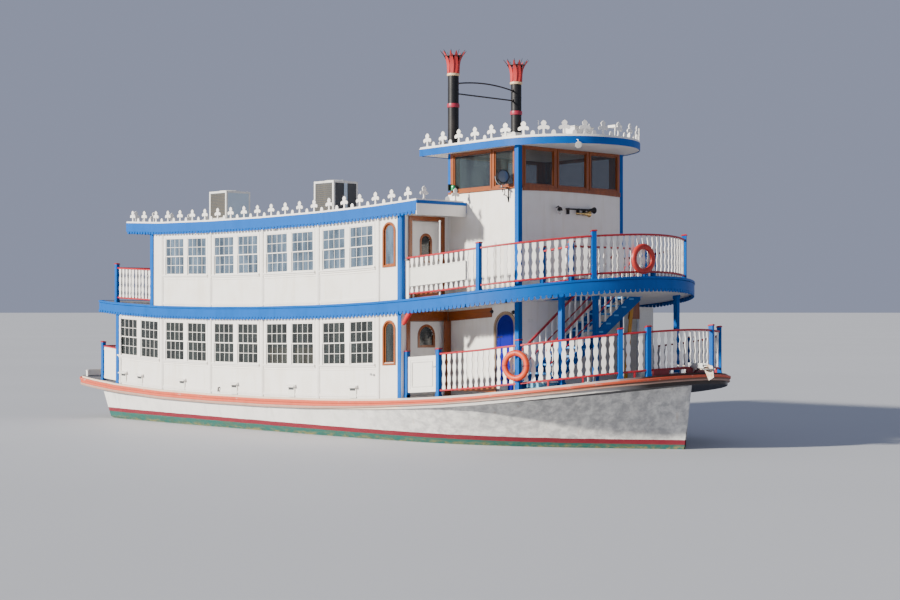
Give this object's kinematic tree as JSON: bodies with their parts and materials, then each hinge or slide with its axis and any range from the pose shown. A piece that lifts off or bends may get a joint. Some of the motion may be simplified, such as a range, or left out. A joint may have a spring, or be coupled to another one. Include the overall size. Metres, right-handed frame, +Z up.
{
  "type": "river excursion boat styled as a paddle steamer",
  "caption": "River excursion boat in the style of a paddle steamer: long glazed cabins on two decks, a raised wheelhouse, twin stacks, white galleries, a bow stair and a rounded bow.",
  "frame": {"origin": "on the centreline at the waterline, amidships", "axes": "+X towards the bow, +Y to port, +Z up; z = 0 is the water's surface"},
  "size_m": [22.4203, 7.2406, 11.2265],
  "materials": {
    "white_paint": "semi-gloss marine paint",
    "hull_paint": "marine paint, weathered",
    "deck_paint": "matt non-slip paint",
    "guard_paint": "sun-faded marine paint",
    "rudder_paint": "matt antifouling paint",
    "blue_paint": "semi-gloss marine paint",
    "deep_blue_paint": "gloss paint",
    "wood_trim": "stained and varnished",
    "black_paint": "semi-gloss heat paint",
    "bronze": "cast and polished",
    "galvanised_steel": "galvanised",
    "unit_casing": "powder coat",
    "ring_skin": "matt plastic skin"
  },
  "bodies": {
    "boat": {"lower_wall_starboard": "white_paint", "lower_wall_port": "white_paint", "lower_wall_front": "white_paint", "lower_wall_aft": "white_paint", "upper_wall_starboard": "white_paint", "upper_wall_port": "white_paint", "upper_wall_front": "white_paint", "upper_wall_aft": "white_paint", "tower_lower_port": "white_paint", "tower_lower_starboard": "white_paint", "tower_lower_front": "white_paint", "tower_upper_port": "white_paint", "tower_upper_starboard": "white_paint", "tower_upper_front": "white_paint", "main_deck_rail": "white_paint", "upper_deck_rail": "white_paint", "upper_stern_rail": "white_paint", "main_stern_rail": "white_paint", "stairwell_rail": "white_paint", "cabin_cresting": "white_paint", "wheelhouse_cresting": "white_paint", "bow_locker": "white_paint", "hull": "hull_paint", "main_deck": "deck_paint", "guard_rim": "guard_paint", "upper_deck": "blue_paint", "cabin_roof": "blue_paint", "wheelhouse_roof": "blue_paint", "bow_column_starboard": "blue_paint", "bow_column_port": "blue_paint", "stair_column": "blue_paint", "tower_column_port": "blue_paint", "tower_column_starboard": "blue_paint", "gate_post_port": "blue_paint", "gate_post_starboard": "blue_paint", "stair": "blue_paint", "wheelhouse_frame": "wood_trim", "helm": "wood_trim", "stack_starboard": "black_paint", "stack_port": "black_paint", "searchlight": "black_paint", "anchor": "galvanised_steel", "cooler_aft": "unit_casing", "cooler_forward": "unit_casing", "life_ring_main": "ring_skin", "life_ring_upper": "ring_skin"},
    "lower_front_door_starboard": {"lower_front_door_starboard": "white_paint"},
    "lower_front_door_port": {"lower_front_door_port": "white_paint"},
    "upper_front_door_starboard": {"upper_front_door_starboard": "white_paint"},
    "upper_front_door_port": {"upper_front_door_port": "white_paint"},
    "lower_aft_door": {"lower_aft_door": "white_paint"},
    "upper_aft_door": {"upper_aft_door": "white_paint"},
    "tower_door_starboard": {"tower_door_starboard": "deep_blue_paint"},
    "tower_door_port": {"tower_door_port": "deep_blue_paint"},
    "boarding_gate_starboard": {"boarding_gate_starboard": "white_paint"},
    "boarding_gate_port": {"boarding_gate_port": "white_paint"},
    "propeller_starboard": {"propeller_starboard": "bronze"},
    "propeller_port": {"propeller_port": "bronze"},
    "rudder_starboard": {"rudder_starboard": "rudder_paint"},
    "rudder_port": {"rudder_port": "rudder_paint"}
  },
  "joints": [
    {"name": "lower_front_door_starboard_hinge", "type": "hinge", "parent": "boat", "child": "lower_front_door_starboard", "pos_m": [3.89, -3.21, 1.9], "axis": [0, 0, 1], "range_deg": [0, 90]},
    {"name": "lower_front_door_port_hinge", "type": "hinge", "parent": "boat", "child": "lower_front_door_port", "pos_m": [3.89, 3.21, 1.9], "axis": [0, 0, -1], "range_deg": [0, 90]},
    {"name": "upper_front_door_starboard_hinge", "type": "hinge", "parent": "boat", "child": "upper_front_door_starboard", "pos_m": [3.89, -3.14, 4.5], "axis": [0, 0, 1], "range_deg": [0, 90]},
    {"name": "upper_front_door_port_hinge", "type": "hinge", "parent": "boat", "child": "upper_front_door_port", "pos_m": [3.89, 3.14, 4.5], "axis": [0, 0, -1], "range_deg": [0, 90]},
    {"name": "lower_aft_door_hinge", "type": "hinge", "parent": "boat", "child": "lower_aft_door", "pos_m": [-8.99, 0.5, 1.7], "axis": [0, 0, 1], "range_deg": [0, 90]},
    {"name": "upper_aft_door_hinge", "type": "hinge", "parent": "boat", "child": "upper_aft_door", "pos_m": [-7.14, 0.5, 4.3], "axis": [0, 0, 1], "range_deg": [0, 90]},
    {"name": "tower_door_starboard_hinge", "type": "hinge", "parent": "boat", "child": "tower_door_starboard", "pos_m": [5.71, -1.8, 2], "axis": [0, 0, 1], "range_deg": [0, 90]},
    {"name": "tower_door_port_hinge", "type": "hinge", "parent": "boat", "child": "tower_door_port", "pos_m": [5.71, 1.8, 2], "axis": [0, 0, -1], "range_deg": [0, 90]},
    {"name": "boarding_gate_starboard_hinge", "type": "hinge", "parent": "boat", "child": "boarding_gate_starboard", "pos_m": [4.0683, -3.338, 1.4], "axis": [0, 0, 1], "range_deg": [0, 90]},
    {"name": "boarding_gate_port_hinge", "type": "hinge", "parent": "boat", "child": "boarding_gate_port", "pos_m": [4.0683, 3.338, 1.4], "axis": [0, 0, -1], "range_deg": [0, 90]},
    {"name": "propeller_starboard_hinge", "type": "hinge", "parent": "boat", "child": "propeller_starboard", "pos_m": [-7.95, -1.5, -0.72], "axis": [1, 0, 0], "continuous": true},
    {"name": "propeller_port_hinge", "type": "hinge", "parent": "boat", "child": "propeller_port", "pos_m": [-7.95, 1.5, -0.72], "axis": [1, 0, 0], "continuous": true},
    {"name": "rudder_starboard_hinge", "type": "hinge", "parent": "boat", "child": "rudder_starboard", "pos_m": [-8.43, -1.5, -0.7], "axis": [0, 0, 1], "range_deg": [-35, 35]},
    {"name": "rudder_port_hinge", "type": "hinge", "parent": "boat", "child": "rudder_port", "pos_m": [-8.43, 1.5, -0.7], "axis": [0, 0, 1], "range_deg": [-35, 35]}
  ],
  "couplings": [
    {"joint": "rudder_port_hinge", "follows": "rudder_starboard_hinge", "ratio": 1}
  ]
}
